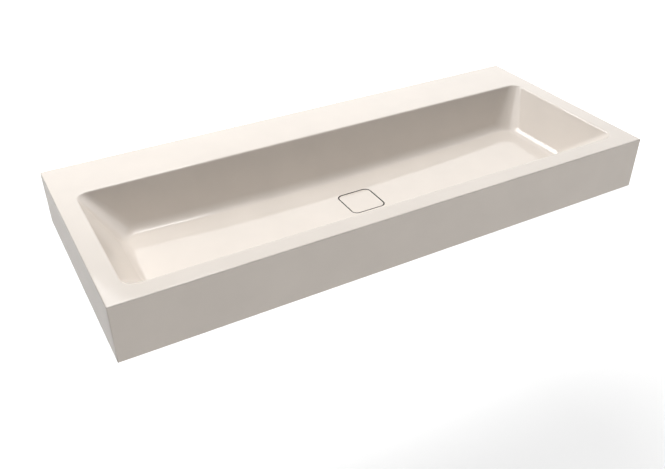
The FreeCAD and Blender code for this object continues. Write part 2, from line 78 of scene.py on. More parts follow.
COVER_BOTTOM = COVER_LOW.z
RECESS_UNDERSIDE = PRESSING_LOW.z
RECESS_FLOOR = RECESS_UNDERSIDE + SHEET
FLANGE_RADIUS = (WASTE_HIGH.x - WASTE_LOW.x) / 2
FLANGE_TOP = WASTE_HIGH.z
FLANGE_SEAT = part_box("flange_gasket")[1].z
LOCK_NUT_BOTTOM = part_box("lock_nut")[0].z
WASTE_END = WASTE_LOW.z
STUD_RADIUS = (STUDS_HIGH.z - STUDS_LOW.z) / 2
STUD_X = STUDS_HIGH.x - STUD_RADIUS
STUD_END = STUDS_LOW.y
STUD_POINT = STUDS_HIGH.y

UP = Vector((0, 0, 1))
QUARTER_TURN = math.pi / 2
FULL_TURN = 2 * math.pi
SHARP_ANGLE = math.radians(35)
MERGE_DISTANCE = 1e-6
TOUCH_TOLERANCE = 1e-7

# Faces across each stretch of the shell's sheet, from the drain hole to the apron and back underneath
HOLE_STEPS = 3
BEND_STEPS = 6
RECESS_EDGE_STEPS = 5
FLOOR_STEPS = 14
FILLET_STEPS = 12
WALL_STEPS = 5
LIP_STEPS = 8
DECK_STEPS = 4
OUTER_EDGE_STEPS = 6
FOLD_STEPS = 5
DECK_UNDER_STEPS = 3
FLOOR_UNDER_STEPS = 10

# Faces across the rounded edges of the cover and the waste, and round the cutter of a bolt hole
COVER_EDGE_STEPS = 6
WASTE_EDGE_STEPS = 4
CUTTER_STEPS = 48

# Rings on the drain cover's face, as shares of its half width
COVER_RINGS = (0.1, 0.3, 0.5, 0.7, 0.85, 1.0)

# Depth below the crest at equal steps through one pitch, as shares of the whole depth
MACHINE_THREAD_SHARES = (0.0, 0.0, 0.5, 1.0, 1.0, 0.5)
SCREW_THREAD_SHARES = (0.0, 0.45, 0.85, 1.0, 1.0, 0.85, 0.45)

# How far a threaded end is chamfered inside the thread's root, for each unit of the chamfer's length
CHAMFER_SLOPE = 0.25

# Values that a noise pattern mostly lies between
NOISE_LOW = 0.3
NOISE_HIGH = 0.7

# Radians that a wave texture of scale 1 runs through in each unit of length
WAVE_RADIANS = 20

# Enamel: how far up a face looks where it is satin and where it is glossy, and how much rougher satin is
ENAMEL_IOR = 1.52
SATIN_FACING = 0.10
GLOSS_FACING = 0.35
SATIN_GAIN = 0.345

# Width of the camera's sensor in millimetres, and the middle of the basin, which the lamps are turned to
SENSOR_WIDTH = 36.0
LIGHT_AIM = Vector((0, (FRONT + BACK) / 2, 0))

Counts = namedtuple("Counts", "corner along across")
Column = namedtuple("Column", "rim slope normal")
Softbox = namedtuple("Softbox", "name place size")

# Where each lamp of the stage stands, and its width and height
SOFTBOXES = (
    Softbox("back_light", (2.2, 4.0, 3.3), (10.0, 3.6)),
    Softbox("high_light", (-0.7, 0.6, 2.3), (2.6, 2.0)),
    Softbox("middle_light", (-0.45, 1.6, 2.6), (2.2, 1.0)),
    Softbox("right_light", (4.6, -0.6, 2.8), (3.2, 3.2)),
    Softbox("front_light", (-0.1, -3.0, -0.38), (5.0, 0.7)),
)


def length(name, description, default):
    """A length property in metres."""
    return FloatProperty(name=name, description=description, default=default, unit="LENGTH", precision=4)


def angle(name, description, degrees):
    """An angle property."""
    return FloatProperty(name=name, description=description, default=math.radians(degrees), subtype="ANGLE")


def power(name, description, default):
    """A lamp's power in watts."""
    return FloatProperty(name=name, description=description, default=default, unit="POWER")


def colour(name, description, default):
    """A linear colour property."""
    return FloatVectorProperty(
        name=name, description=description, default=default, size=3, min=0.0, max=1.0, subtype="COLOR"
    )


def steps(name, description, default):
    """A count of mesh faces."""
    return IntProperty(name=name, description=description, default=default, min=2)


class ShellSettings(bpy.types.PropertyGroup):
    """Sizes of the enamelled shell."""

    side_deck: length("Side deck", "Width of the deck at each end", 0.040)
    front_deck: length("Front deck", "Width of the deck along the front", 0.040)
    back_deck: length("Back deck", "Width of the deck along the wall", 0.125)
    side_lean: angle("Side lean", "Lean of the end walls from upright", 35.0)
    back_lean: angle("Back lean", "Lean of the back wall from upright", 32.0)
    front_lean: angle("Front lean", "Lean of the front wall from upright", 40.0)
    rim_corner: length("Rim corner", "Corner radius of the bowl at the deck", 0.025)
    floor_corner: length("Floor corner", "Corner radius of the bowl at the drain's height", 0.055)
    lip_radius: length("Lip radius", "Radius between deck and bowl walls", 0.006)
    floor_fillet: length("Floor fillet", "Radius between bowl walls and floor", 0.030)
    end_rise: length("End rise", "Rise of the floor from the drain to the ends of the bowl", 0.0105)
    side_rise: length("Side rise", "Rise of the floor from the drain to the long sides", 0.002)
    recess_gap: length("Recess gap", "Gap between the drain cover and its recess", 0.002)
    recess_corner: length("Recess corner", "Corner radius of the drain recess", 0.014)
    recess_edge: length("Recess edge", "Radius between floor and recess", 0.0007)
    recess_bend: length("Recess bend", "Radius at the foot of the recess", 0.004)
    drain_hole: length("Drain hole", "Radius of the hole for the waste", 0.023)
    outer_edge: length("Outer edge", "Radius of the outer edges", 0.0024)
    fold_radius: length("Fold radius", "Radius of the fold at the foot of the apron", 0.0018)
    flange_width: length("Flange width", "Width of the return flange", 0.010)
    flange_corner: length("Flange corner", "Corner radius inside the return flange", 0.006)
    stud_hole: length("Bolt hole", "Radius of the holes for the hanger bolts", 0.008)
    long_steps: steps("Long steps", "Faces along each long side", 72)
    short_steps: steps("Short steps", "Faces along each short side", 28)
    corner_steps: steps("Corner steps", "Faces round each corner", 12)


class CoverSettings(bpy.types.PropertyGroup):
    """Sizes of the drain cover."""

    corner: length("Corner", "Corner radius of the cover", 0.012)
    edge: length("Edge", "Radius of the cover's upper edge", 0.0006)
    crown: length("Crown", "How far the middle of the cover stands over its edge", 0.0003)
    side_steps: steps("Side steps", "Faces along each side", 14)
    corner_steps: steps("Corner steps", "Faces round each corner", 10)


class BoltSettings(bpy.types.PropertyGroup):
    """Sizes of the hanger bolts."""

    thread_pitch: length("Thread pitch", "Pitch of the machine thread", 0.0015)
    thread_depth: length("Thread depth", "Depth of the machine thread", 0.00085)
    chamfer: length("Chamfer", "Chamfer at the nut's end", 0.001)
    neck_radius: length("Neck radius", "Radius between the two threads", 0.0043)
    neck_length: length("Neck length", "Length between the two threads", 0.006)
    screw_radius: length("Screw radius", "Radius over the thread in the wall", 0.00475)
    screw_pitch: length("Screw pitch", "Pitch of the thread in the wall", 0.0042)
    screw_depth: length("Screw depth", "Depth of the thread in the wall", 0.0013)
    point_length: length("Point length", "Length of the taper in the wall", 0.012)
    point_radius: length("Point radius", "Radius of the blunt point", 0.001)
    round_steps: steps("Round steps", "Faces round each bolt", 32)


class WasteSettings(bpy.types.PropertyGroup):
    """Sizes of the waste body."""

    thread_radius: length("Thread radius", "Radius over the crests of the thread", 0.020955)
    thread_pitch: length("Thread pitch", "Pitch of the thread", 0.002309)
    thread_depth: length("Thread depth", "Depth of the thread", 0.0013)
    bore_radius: length("Bore radius", "Radius of the bore", 0.018)
    funnel_radius: length("Funnel radius", "Radius of the funnel at the flange's face", 0.022)
    flange_edge: length("Flange edge", "Radius of the flange's upper edge", 0.0008)
    run_out: length("Run-out", "Thread left below the lock nut", 0.002)
    relief_width: length("Relief width", "Width of the groove above the tail", 0.003)
    relief_depth: length("Relief depth", "Depth of the groove above the tail", 0.0015)
    tail_chamfer: length("Tail chamfer", "Chamfer at the foot of the tail", 0.001)
    hub_drop: length("Hub drop", "Top of the hub below the flange's seat", 0.003)
    hub_radius: length("Hub radius", "Radius of the hub", 0.009)
    hub_bore: length("Hub bore", "Radius of the hub's bore", 0.006)
    hub_height: length("Hub height", "Height of the hub", 0.010)
    hub_edge: length("Hub edge", "Rounding of the hub and the cross", 0.0006)
    spoke_width: length("Spoke width", "Width of each arm of the cross", 0.003)
    spoke_height: length("Spoke height", "Height of each arm of the cross", 0.006)
    spoke_count: steps("Spokes", "Arms of the cross", 4)
    round_steps: steps("Round steps", "Faces round the waste", 72)


class FinishSettings(bpy.types.PropertyGroup):
    """Colours of the finishes."""

    enamel: colour("Enamel", "Colour of the enamel", (0.83, 0.755, 0.68))
    # The dark coat is the real ground coat under the basin; on the drain recess and on the cover's edge and
    # skirt it is painted shade for the gap round the cover.
    ground_coat: colour("Ground coat", "Colour of the ground coat under the basin", (0.034, 0.030, 0.027))
    fleck: colour("Fleck", "Colour of the flecks in the ground coat", (0.31, 0.29, 0.27))
    bitumen: colour("Bitumen", "Colour of the sound pads", (0.022, 0.021, 0.020))
    zinc: colour("Zinc", "Colour of the zinc plating", (0.60, 0.62, 0.65))
    nylon: colour("Nylon", "Colour of the sleeves and the slip washer", (0.76, 0.75, 0.71))
    chrome: colour("Chrome", "Colour of the chrome plating", (0.78, 0.79, 0.81))
    brass: colour("Brass", "Colour of the lock nut", (0.74, 0.52, 0.22))
    rubber: colour("Rubber", "Colour of the seals and feet", (0.022, 0.022, 0.024))
    stainless: colour("Stainless", "Colour of the boss and the screw", (0.56, 0.55, 0.53))
    acetal: colour("Acetal", "Colour of the stem", (0.27, 0.28, 0.29))


class StageSettings(bpy.types.PropertyGroup):
    """Camera, floor and lights."""

    eye: FloatVectorProperty(
        name="Eye",
        description="Where the camera stands",
        default=(-0.73935, -1.48462, 0.81758),
        subtype="XYZ",
    )
    view_turn: FloatVectorProperty(
        name="View turn",
        description="How the camera is turned",
        default=(math.radians(55.767), 0.0, math.radians(-29.257)),
        subtype="EULER",
    )
    lens: FloatProperty(name="Lens", description="Focal length in millimetres", default=40.976)
    floor_drop: length("Floor drop", "Floor below the hanger bolts", 0.800)
    floor_size: length("Floor size", "Width of the floor", 24.0)
    floor_shade: FloatProperty(name="Floor shade", description="How pale the floor is", default=0.80)
    floor_glow: FloatProperty(
        name="Floor glow", description="White that the floor shows of itself under the basin", default=0.61
    )
    glow_start: length("Glow start", "How far from the middle the floor begins to turn white", 1.0)
    glow_stop: length("Glow stop", "How far from the middle the floor is white", 3.4)
    ambient: FloatProperty(name="Ambient", description="Strength of the even light", default=0.02)
    back_light: power("Back light", "Power of the wide softbox far behind the wall", 110.0)
    high_light: power("High light", "Power of the softbox high above the left end", 35.0)
    middle_light: power("Middle light", "Power of the softbox high behind the left end", 48.0)
    right_light: power("Right light", "Power of the softbox on the right", 43.0)
    front_light: power("Front light", "Power of the low softbox in front", 30.0)


def level_way(turn):
    """Level direction at this turn about the upright axis."""
    return Vector((math.cos(turn), math.sin(turn), 0))


def quarter_round(radius, count):
    """Steps of a quarter circle as pairs. The first falls from the radius to nothing, the second grows."""
    turns = [QUARTER_TURN * step / count for step in range(count + 1)]
    return [(radius * (1 - math.sin(turn)), radius * (1 - math.cos(turn))) for turn in turns]


def spread(inner, outer, count):
    """Loops between two loops, neither of them included."""
    return [
        [start.lerp(stop, step / count) for start, stop in zip(inner, outer)] for step in range(1, count)
    ]


def bend_loops(centres, starts, stops, radius, count):
    """Loops of points and normals round a bend whose normals turn from the starts to the stops."""
    loops = []
    for step in range(count + 1):
        normals = [start.slerp(stop, step / count) for start, stop in zip(starts, stops)]
        points = [centre + normal * radius for centre, normal in zip(centres, normals)]
        loops.append((points, normals))
    return loops


def corner_turns(counts, corner):
    """The way each point round one corner of a rounded loop faces, as a turn about the upright axis."""
    return [QUARTER_TURN * (corner + step / counts.corner) for step in range(counts.corner + 1)]


def side_count(counts, corner):
    """Faces along the side that follows a corner."""
    return counts.across if corner % 2 else counts.along


def column_turns(counts):
    """The way each column of a rounded loop faces, as a turn about the upright axis."""
    turns = []
    for corner in range(4):
        turns += corner_turns(counts, corner)
        turns += [QUARTER_TURN * (corner + 1)] * (side_count(counts, corner) - 1)
    return turns


def rounded_loop(counts, left, right, front, back, radius, height):
    """Closed level outline with four round corners, counted out from the right end of the back."""
    sharp = ((right, back, 1, 1), (left, back, -1, 1), (left, front, -1, -1), (right, front, 1, -1))
    centres = [Vector((x - to_x * radius, y - to_y * radius, height)) for x, y, to_x, to_y in sharp]
    points = []
    for corner, centre in enumerate(centres):
        points += [centre + radius * level_way(turn) for turn in corner_turns(counts, corner)]
        start = points[-1]
        stop = centres[(corner + 1) % len(centres)] + radius * level_way(QUARTER_TURN * (corner + 1))
        side = side_count(counts, corner)
        points += [start.lerp(stop, step / side) for step in range(1, side)]
    return points


def outer_loop(counts, inset, radius, height):
    """Outline of the basin's outside, drawn in by an inset."""
    return rounded_loop(
        counts, inset - HALF_LENGTH, HALF_LENGTH - inset, FRONT + inset, BACK - inset, radius, height
    )


def drain_loop(counts, half, radius, height):
    """Rounded square round the drain."""
    return rounded_loop(
        counts, DRAIN.x - half, DRAIN.x + half, DRAIN.y - half, DRAIN.y + half, radius, height
    )


def drain_circle(loop, radius):
    """Circle round the drain whose points lie in line with those of a loop."""
    points = []
    for point in loop:
        way = Vector((point.x - DRAIN.x, point.y - DRAIN.y, 0)).normalized()
        points.append(Vector((DRAIN.x, DRAIN.y, point.z)) + radius * way)
    return points


def arc_radius(half_span, rise):
    """Radius of an arc that rises this much at half its span from its lowest point."""
    return (half_span**2 + rise**2) / (2 * rise)


class BowlShape:
    """The bowl's upper skin, worked out column by column along the straight lines of its leaning walls."""

    def __init__(self, sizes, counts):
        self.sizes = sizes
        self.counts = counts
        self.half = HALF_LENGTH - sizes.side_deck
        self.back = BACK - sizes.back_deck
        self.front = FRONT + sizes.front_deck
        self.along = arc_radius(self.half, sizes.end_rise)
        self.across = arc_radius((self.back - self.front) / 2, sizes.side_rise)
        self.columns = self.make_columns()
        self.wall_normals = [column.normal for column in self.columns]

    def wall_loop(self, drop):
        """Outline of the four walls at this depth below the deck."""
        sizes = self.sizes
        leans = (sizes.side_lean, sizes.front_lean, sizes.back_lean)
        side, front, back = [drop * math.tan(lean) for lean in leans]
        growth = (sizes.floor_corner - sizes.rim_corner) / BOWL_DEPTH
        return rounded_loop(
            self.counts,
            side - self.half,
            self.half - side,
            self.front + front,
            self.back - back,
            sizes.rim_corner + drop * growth,
            DECK_TOP - drop,
        )

    def make_columns(self):
        """Start, slope for each unit of drop, and normal of every straight line in the walls."""
        columns = []
        feet = self.wall_loop(BOWL_DEPTH)
        for rim, foot, turn in zip(self.wall_loop(0), feet, column_turns(self.counts)):
            slope = (foot - rim) / BOWL_DEPTH
            normal = level_way(turn + QUARTER_TURN).cross(slope).normalized()
            columns.append(Column(rim, slope, normal))
        return columns

    def on_floor(self, point):
        """Point of the dished floor over or under this one."""
        sag_along = self.along - math.sqrt(self.along**2 - point.x**2)
        sag_across = self.across - math.sqrt(self.across**2 - (point.y - DRAIN.y) ** 2)
        return Vector((point.x, point.y, DRAIN_FLOOR + sag_along + sag_across))

    def floor_normal(self, point):
        """Normal of the dished floor."""
        across = point.y - DRAIN.y
        slope_x = point.x / math.sqrt(self.along**2 - point.x**2)
        slope_y = across / math.sqrt(self.across**2 - across**2)
        return Vector((-slope_x, -slope_y, 1)).normalized()

    def fillet_centre(self, column):
        """Middle of the ball that rests on both wall and floor, and the floor's normal under it."""
        radius = self.sizes.floor_fillet
        low, high = 0.0, BOWL_DEPTH
        while high - low > TOUCH_TOLERANCE:
            drop = (low + high) / 2
            centre = column.rim + column.slope * drop + column.normal * radius
            contact = centre - self.floor_normal(centre) * radius
            if contact.z > self.on_floor(contact).z:
                low = drop
            else:
                high = drop
        return centre, self.floor_normal(centre)

    def fillet(self):
        """Loops of points and normals from the floor up to the walls."""
        centres, floors = zip(*[self.fillet_centre(column) for column in self.columns])
        return bend_loops(centres, floors, self.wall_normals, -self.sizes.floor_fillet, FILLET_STEPS)

    def lip(self):
        """Loops of points and normals from the walls up to the deck."""
        radius = self.sizes.lip_radius
        centres = []
        for rim, slope, normal in self.columns:
            drop = radius * (1 - normal.z)
            centres.append(rim + slope * drop - normal * radius)
        return bend_loops(centres, self.wall_normals, [UP] * len(centres), radius, LIP_STEPS)

    def floor(self, inner, outer, count):
        """Loops of points and normals on the floor, from the recess out to the fillet."""
        loops = []
        for flat in spread(inner, outer, count):
            points = [self.on_floor(point) for point in flat]
            loops.append((points, [self.floor_normal(point) for point in points]))
        return loops


def recess_loops(sizes, counts, bowl):
    """Upper skin of the drain recess, from its hole out to the floor."""
    half = COVER_HALF + sizes.recess_gap
    bend, corner = sizes.recess_bend, sizes.recess_corner
    flat = drain_loop(counts, half - bend, corner - bend, RECESS_FLOOR)
    hole = drain_circle(flat, sizes.drain_hole)
    loops = [hole] + spread(hole, flat, HOLE_STEPS)
    for inset, rise in quarter_round(bend, BEND_STEPS):
        loops.append(drain_loop(counts, half - inset, corner - inset, RECESS_FLOOR + rise))
    for drop, out in quarter_round(sizes.recess_edge, RECESS_EDGE_STEPS):
        loop = drain_loop(counts, half + out, corner + out, DRAIN_FLOOR)
        loops.append([bowl.on_floor(point) - UP * drop for point in loop])
    return loops


def recess_outside(sizes, counts):
    """Lower skin of the drain recess, from the floor's underside in to the hole."""
    inside = COVER_HALF + sizes.recess_gap
    half, corner = inside + SHEET, sizes.recess_corner + SHEET
    loops = []
    for rise, inset in quarter_round(sizes.recess_bend + SHEET, BEND_STEPS):
        loops.append(drain_loop(counts, half - inset, corner - inset, RECESS_UNDERSIDE + rise))
    hole = drain_circle(loops[-1], sizes.drain_hole)
    return loops + spread(loops[-1], hole, HOLE_STEPS) + [hole]


def apron_loops(sizes, counts):
    """Outside of the basin, from the deck's edge down to the foot of the apron and in along its flange."""
    edge = sizes.outer_edge
    loops = []
    for inset, drop in quarter_round(edge, OUTER_EDGE_STEPS):
        loops.append(outer_loop(counts, inset, edge - inset, DECK_TOP - drop))
    loops.append(outer_loop(counts, 0, edge, (DECK_TOP + APRON_BOTTOM) / 2))
    for rise, inset in quarter_round(sizes.fold_radius, FOLD_STEPS):
        loops.append(outer_loop(counts, inset, edge - inset, APRON_BOTTOM + rise))
    loops.append(outer_loop(counts, SHEET + sizes.flange_width, sizes.flange_corner, APRON_BOTTOM))
    return loops


def apron_inside(sizes, counts):
    """Inside of the apron, from the flange's edge up to the deck's underside."""
    flange_top = APRON_BOTTOM + SHEET
    return [
        outer_loop(counts, SHEET + sizes.flange_width, sizes.flange_corner, flange_top),
        outer_loop(counts, SHEET, 0, flange_top),
        outer_loop(counts, SHEET, 0, (flange_top + DECK_UNDERSIDE) / 2),
        outer_loop(counts, SHEET, 0, DECK_UNDERSIDE),
    ]


def under(loops):
    """The lower skin of loops of points and normals, a sheet's thickness away and in the other order."""
    return [
        [point - normal * SHEET for point, normal in zip(points, normals)]
        for points, normals in reversed(loops)
    ]


def shell_loops(sizes):
    """Every loop of the shell in order, and the places in that order where the enamel starts and stops.
    Before the start the drain recess takes the dark coat as painted shade for the gap round the cover;
    after the stop the underside takes the real ground coat.
    """
    counts = Counts(sizes.corner_steps, sizes.long_steps, sizes.short_steps)
    bowl = BowlShape(sizes, counts)
    recess = recess_loops(sizes, counts, bowl)
    fillet = bowl.fillet()
    lip = bowl.lip()
    wall_top, wall_normals = lip[0]
    walls = [(points, wall_normals) for points in spread(fillet[-1][0], wall_top, WALL_STEPS)]
    floor = bowl.floor(recess[-1], fillet[0][0], FLOOR_STEPS)
    apron = apron_loops(sizes, counts)
    inside = apron_inside(sizes, counts)
    outside = recess_outside(sizes, counts)
    recess_top = [bowl.on_floor(point) - UP * SHEET for point in outside[0]]
    floor_under = under(bowl.floor(recess_top, fillet[0][0], FLOOR_UNDER_STEPS))
    # The enamel starts part way up the recess's top edge; the recess wall and floor below it are dark, as
    # painted shade in the gap round the cover
    enamel_start = len(recess) - RECESS_EDGE_STEPS // 2 - 1
    upper = recess + [points for points, normals in floor + fillet + walls + lip]
    upper += spread(lip[-1][0], apron[0], DECK_STEPS) + apron
    lower = inside + spread(inside[-1], under(lip)[0], DECK_UNDER_STEPS)
    lower += under(fillet + walls + lip) + floor_under + [recess_top] + outside
    return upper + lower, enamel_start, len(upper)


def skin(mesh, loops, meet, start, stop):
    """Faces through equal loops, closed if they meet. Outside start to stop they have the second finish."""
    rows = [[mesh.verts.new(point) for point in loop] for loop in loops]
    following = rows[1:] + rows[:1] if meet else rows[1:]
    for index, (row, after) in enumerate(zip(rows, following)):
        for here in range(len(row)):
            there = (here + 1) % len(row)
            face = mesh.faces.new((row[here], after[here], after[there], row[there]))
            face.material_index = int(not start <= index < stop)
    return rows


def closed(mesh):
    """Joins coinciding points and turns every face outwards."""
    bmesh.ops.remove_doubles(mesh, verts=mesh.verts, dist=MERGE_DISTANCE)
    bmesh.ops.recalc_face_normals(mesh, faces=mesh.faces)


def mesh_object(name, mesh):
    """Object made of this mesh, which is used up."""
    data = bpy.data.meshes.new(name)
    mesh.to_mesh(data)
    mesh.free()
    piece = bpy.data.objects.new(name, data)
    bpy.context.scene.collection.objects.link(piece)
    return piece


def combine(piece, tools, operation):
    """Cuts tools from a piece or joins them to it, and takes the tools away."""
    for tool in tools:
        step = piece.modifiers.new(tool.name, "BOOLEAN")
        step.object = tool
        step.operation = operation
        step.solver = "EXACT"
    bpy.context.view_layer.update()
    result = bpy.data.meshes.new_from_object(piece.evaluated_get(bpy.context.evaluated_depsgraph_get()))
    if not result.polygons:
        raise RuntimeError(f"nothing is left of {piece.name}")
    piece.modifiers.clear()
    piece.data = result
    for tool in tools:
        bpy.data.objects.remove(tool)


def shade(piece):
    """Smooth faces with crisp edges, flat faces kept flat."""
    mesh = bmesh.new()
    mesh.from_mesh(piece.data)
    for face in mesh.faces:
        face.smooth = True
    for edge in mesh.edges:
        edge.smooth = edge.calc_face_angle(math.pi) < SHARP_ANGLE
    mesh.to_mesh(piece.data)
    mesh.free()
    flat = piece.modifiers.new("Flat faces", "WEIGHTED_NORMAL")
    flat.keep_sharp = True


def place_piece(piece, body, nodes, materials):
    """Shades a finished piece, gives it its materials and lets it stand for its CAD nodes."""
    coats = [face.material_index for face in piece.data.polygons]
    piece.data.materials.clear()
    for material in materials:
        piece.data.materials.append(material)
    piece.data.polygons.foreach_set("material_index", coats)
    shade(piece)
    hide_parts(*nodes)
    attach(piece, body)


def ring_row(mesh, radius, along, count):
    """Circle of points about the upright axis."""
    turns = [FULL_TURN * step / count for step in range(count)]
    return [mesh.verts.new(radius * level_way(turn) + UP * along) for turn in turns]


def join_rows(mesh, rows):
    """Faces between circles of points, one after the other."""
    for row, after in zip(rows, rows[1:]):
        for here in range(len(row)):
            there = (here + 1) % len(row)
            mesh.faces.new((row[here], row[there], after[there], after[here]))


def turn_profile(mesh, profile, count):
    """Turned skin through (radius, distance along) pairs."""
    join_rows(mesh, [ring_row(mesh, radius, along, count) for radius, along in profile])


def cut_thread(mesh, shares, pitch, start, stop, crest, root, count):
    """Helical thread between two distances along the axis. Crest and root give radii by distance."""
    parts = len(shares)

    def point(row, column):
        """Point of the thread, which fades out over one pitch at each end."""
        along = start + pitch * (row / parts + column / count)
        share = shares[row % parts]
        fade = min(1, (along - start) / pitch, (stop - along) / pitch)
        along = min(max(along, start), stop)
        radius = root(along) + max(fade, 0) * (1 - share) * (crest(along) - root(along))
        return mesh.verts.new(radius * level_way(FULL_TURN * column / count) + UP * along)

    last = math.ceil(parts * (stop - start) / pitch)
    grid = [[point(row, column) for column in range(count + 1)] for row in range(-parts, last + 1)]
    for row, after in zip(grid, grid[1:]):
        for here in range(count):
            mesh.faces.new((row[here], row[here + 1], after[here + 1], after[here]))


def machine_thread(mesh, pitch, start, stop, crest, root, count):
    """Straight machine thread with one radius for its crest and one for its root."""
    shares = MACHINE_THREAD_SHARES
    cut_thread(mesh, shares, pitch, start, stop, lambda along: crest, lambda along: root, count)


def round_edge(radius, along, edge, up):
    """Profile of a rounded upper (1) or lower (-1) edge whose sharp corner would be at (radius, along)."""
    return [(radius - inset, along - up * drop) for inset, drop in quarter_round(edge, WASTE_EDGE_STEPS)]


def add_node(tree, kind, inputs, output=0, **settings):
    """New node whose inputs are plain values or other nodes' outputs. Gives one of its own outputs."""
    node = tree.nodes.new(kind)
    for name, value in settings.items():
        setattr(node, name, value)
    for name, value in inputs.items():
        if isinstance(value, bpy.types.NodeSocket):
            tree.links.new(value, node.inputs[name])
        else:
            node.inputs[name].default_value = value
    return node.outputs[output]


def toned(tone, share):
    """A colour made darker or paler by a share."""
    return tuple(min(1.0, part * share) for part in tone)


class Finish:
    """A procedural material at real scale, put together node by node. Sizes and heights are in metres."""

    def __init__(self, name, metallic=0.0):
        self.material = bpy.data.materials.new(name)
        self.material.use_nodes = True
        self.tree = self.material.node_tree
        self.shader = self.tree.nodes["Principled BSDF"]
        self.shader.inputs["Metallic"].default_value = metallic
        self.place = self.add("ShaderNodeTexCoord", {}, "Object")

    def add(self, kind, inputs, output=0, **settings):
        """One of the outputs of a new node."""
        return add_node(self.tree, kind, inputs, output, **settings)

    def drive(self, socket, pattern):
        """Lets a pattern set one of the shader's own sockets."""
        self.tree.links.new(pattern, self.shader.inputs[socket])

    def stretched(self, along_x, along_y, along_z):
        """Place with each direction scaled, for brushed and drawn surfaces."""
        return self.add("ShaderNodeMapping", {"Vector": self.place, "Scale": (along_x, along_y, along_z)})

    def noise(self, size, detail=2.0, place=None):
        """Cloudy pattern with features about this large."""
        return self.add(
            "ShaderNodeTexNoise", {"Vector": place or self.place, "Scale": 1 / size, "Detail": detail}
        )

    def cells(self, size, output):
        """Pattern of irregular cells about this large."""
        return self.add("ShaderNodeTexVoronoi", {"Vector": self.place, "Scale": 1 / size}, output)

    def ridges(self, size, direction):
        """Even ridges this far apart."""
        return self.add(
            "ShaderNodeTexWave",
            {"Vector": self.place, "Scale": FULL_TURN / (WAVE_RADIANS * size), "Distortion": 0.0},
            "Fac",
            bands_direction=direction,
        )

    def spread(self, pattern, low, high, least, most):
        """Pattern carried from one range of values to another."""
        return self.add(
            "ShaderNodeMapRange",
            {"Value": pattern, "From Min": low, "From Max": high, "To Min": least, "To Max": most},
        )

    def colour(self, pattern, low, first, high, second):
        """Base colour that runs from one colour to the other where the pattern runs from low to high."""
        ramp = self.tree.nodes.new("ShaderNodeValToRGB")
        for stop, place, tone in zip(ramp.color_ramp.elements, (low, high), (first, second)):
            stop.position = place
            stop.color = (*tone, 1)
        self.tree.links.new(pattern, ramp.inputs["Fac"])
        self.drive("Base Color", ramp.outputs["Color"])

    def mottle(self, pattern, tone, dark, pale):
        """Base colour that wanders between a darker and a paler share of one tone."""
        self.colour(pattern, NOISE_LOW, toned(tone, dark), NOISE_HIGH, toned(tone, pale))

    def roughness(self, pattern, least, most):
        """Roughness that follows the pattern."""
        self.drive("Roughness", self.spread(pattern, NOISE_LOW, NOISE_HIGH, least, most))

    def bump(self, *layers):
        """Relief built up from (pattern, height) layers."""
        normal = None
        for pattern, height in layers:
            inputs = {"Height": pattern, "Distance": height, "Strength": 1.0}
            if normal is not None:
                inputs["Normal"] = normal
            normal = self.add("ShaderNodeBump", inputs)
        self.drive("Normal", normal)


def enamel_finish(tones):
    """Vitreous enamel with a soft orange peel, glossy in bowl and on deck, satin on upright faces."""
    finish = Finish("vitreous_enamel")
    finish.mottle(finish.noise(0.090), tones.enamel, 0.975, 1.015)
    facing = finish.add("ShaderNodeNewGeometry", {}, "Normal")
    upward = finish.add("ShaderNodeSeparateXYZ", {"Vector": facing}, "Z")
    gloss = finish.spread(finish.noise(0.030), NOISE_LOW, NOISE_HIGH, 0.055, 0.085)
    satin = finish.spread(upward, SATIN_FACING, GLOSS_FACING, SATIN_GAIN, 0.0)
    finish.drive("Roughness", finish.add("ShaderNodeMath", {0: gloss, 1: satin}, operation="ADD"))
    finish.bump((finish.noise(0.035, 1.0), 0.00006), (finish.noise(0.0045, 1.0), 0.000012))
    finish.shader.inputs["IOR"].default_value = ENAMEL_IOR
    return finish.material


def ground_coat_and_gap_shade_finish(tones):
    """Dark ground coat fired on the underside, flecked with pale enamel. The same dark coat on the drain
    recess and on the cover's edge and skirt is painted shade for the gap round the cover.
    """
    finish = Finish("ground_coat")
    flecks = finish.cells(0.0035, "Distance")
    finish.colour(flecks, 0.10, tones.fleck, 0.22, tones.ground_coat)
    finish.roughness(finish.noise(0.012), 0.25, 0.45)
    finish.bump((finish.noise(0.006), 0.00008), (flecks, 0.00005))
    return finish.material


def bitumen_finish(tones):
    """Matt deadening mat with an embossed lattice."""
    finish = Finish("deadening_mat")
    finish.mottle(finish.noise(0.020, 4.0), tones.bitumen, 0.7, 1.6)
    finish.roughness(finish.noise(0.004), 0.72, 0.9)
    lattice = [(finish.ridges(0.008, direction), 0.0005) for direction in "XY"]
    finish.bump(*lattice, (finish.noise(0.002), 0.0002))
    return finish.material


def zinc_finish(tones):
    """Bright zinc plating with a faint spangle."""
    finish = Finish("zinc_plate", metallic=1.0)
    spangle = finish.cells(0.006, "Color")
    finish.colour(spangle, 0.2, toned(tones.zinc, 0.86), 0.8, toned(tones.zinc, 1.08))
    finish.roughness(finish.noise(0.008, 3.0), 0.26, 0.42)
    finish.bump((finish.noise(0.0012), 0.00003))
    return finish.material


def nylon_finish(tones):
    """Moulded nylon with a fine spark-eroded grain."""
    finish = Finish("nylon")
    finish.mottle(finish.noise(0.008), tones.nylon, 0.95, 1.03)
    finish.roughness(finish.noise(0.003), 0.42, 0.55)
    finish.bump((finish.noise(0.0006), 0.00004))
    return finish.material


def chrome_finish(tones):
    """Chrome plating over a turned casting."""
    finish = Finish("chrome", metallic=1.0)
    finish.mottle(finish.noise(0.012), tones.chrome, 0.94, 1.04)
    finish.roughness(finish.noise(0.006, 3.0), 0.07, 0.16)
    finish.bump((finish.noise(0.010, 1.0), 0.00004))
    return finish.material


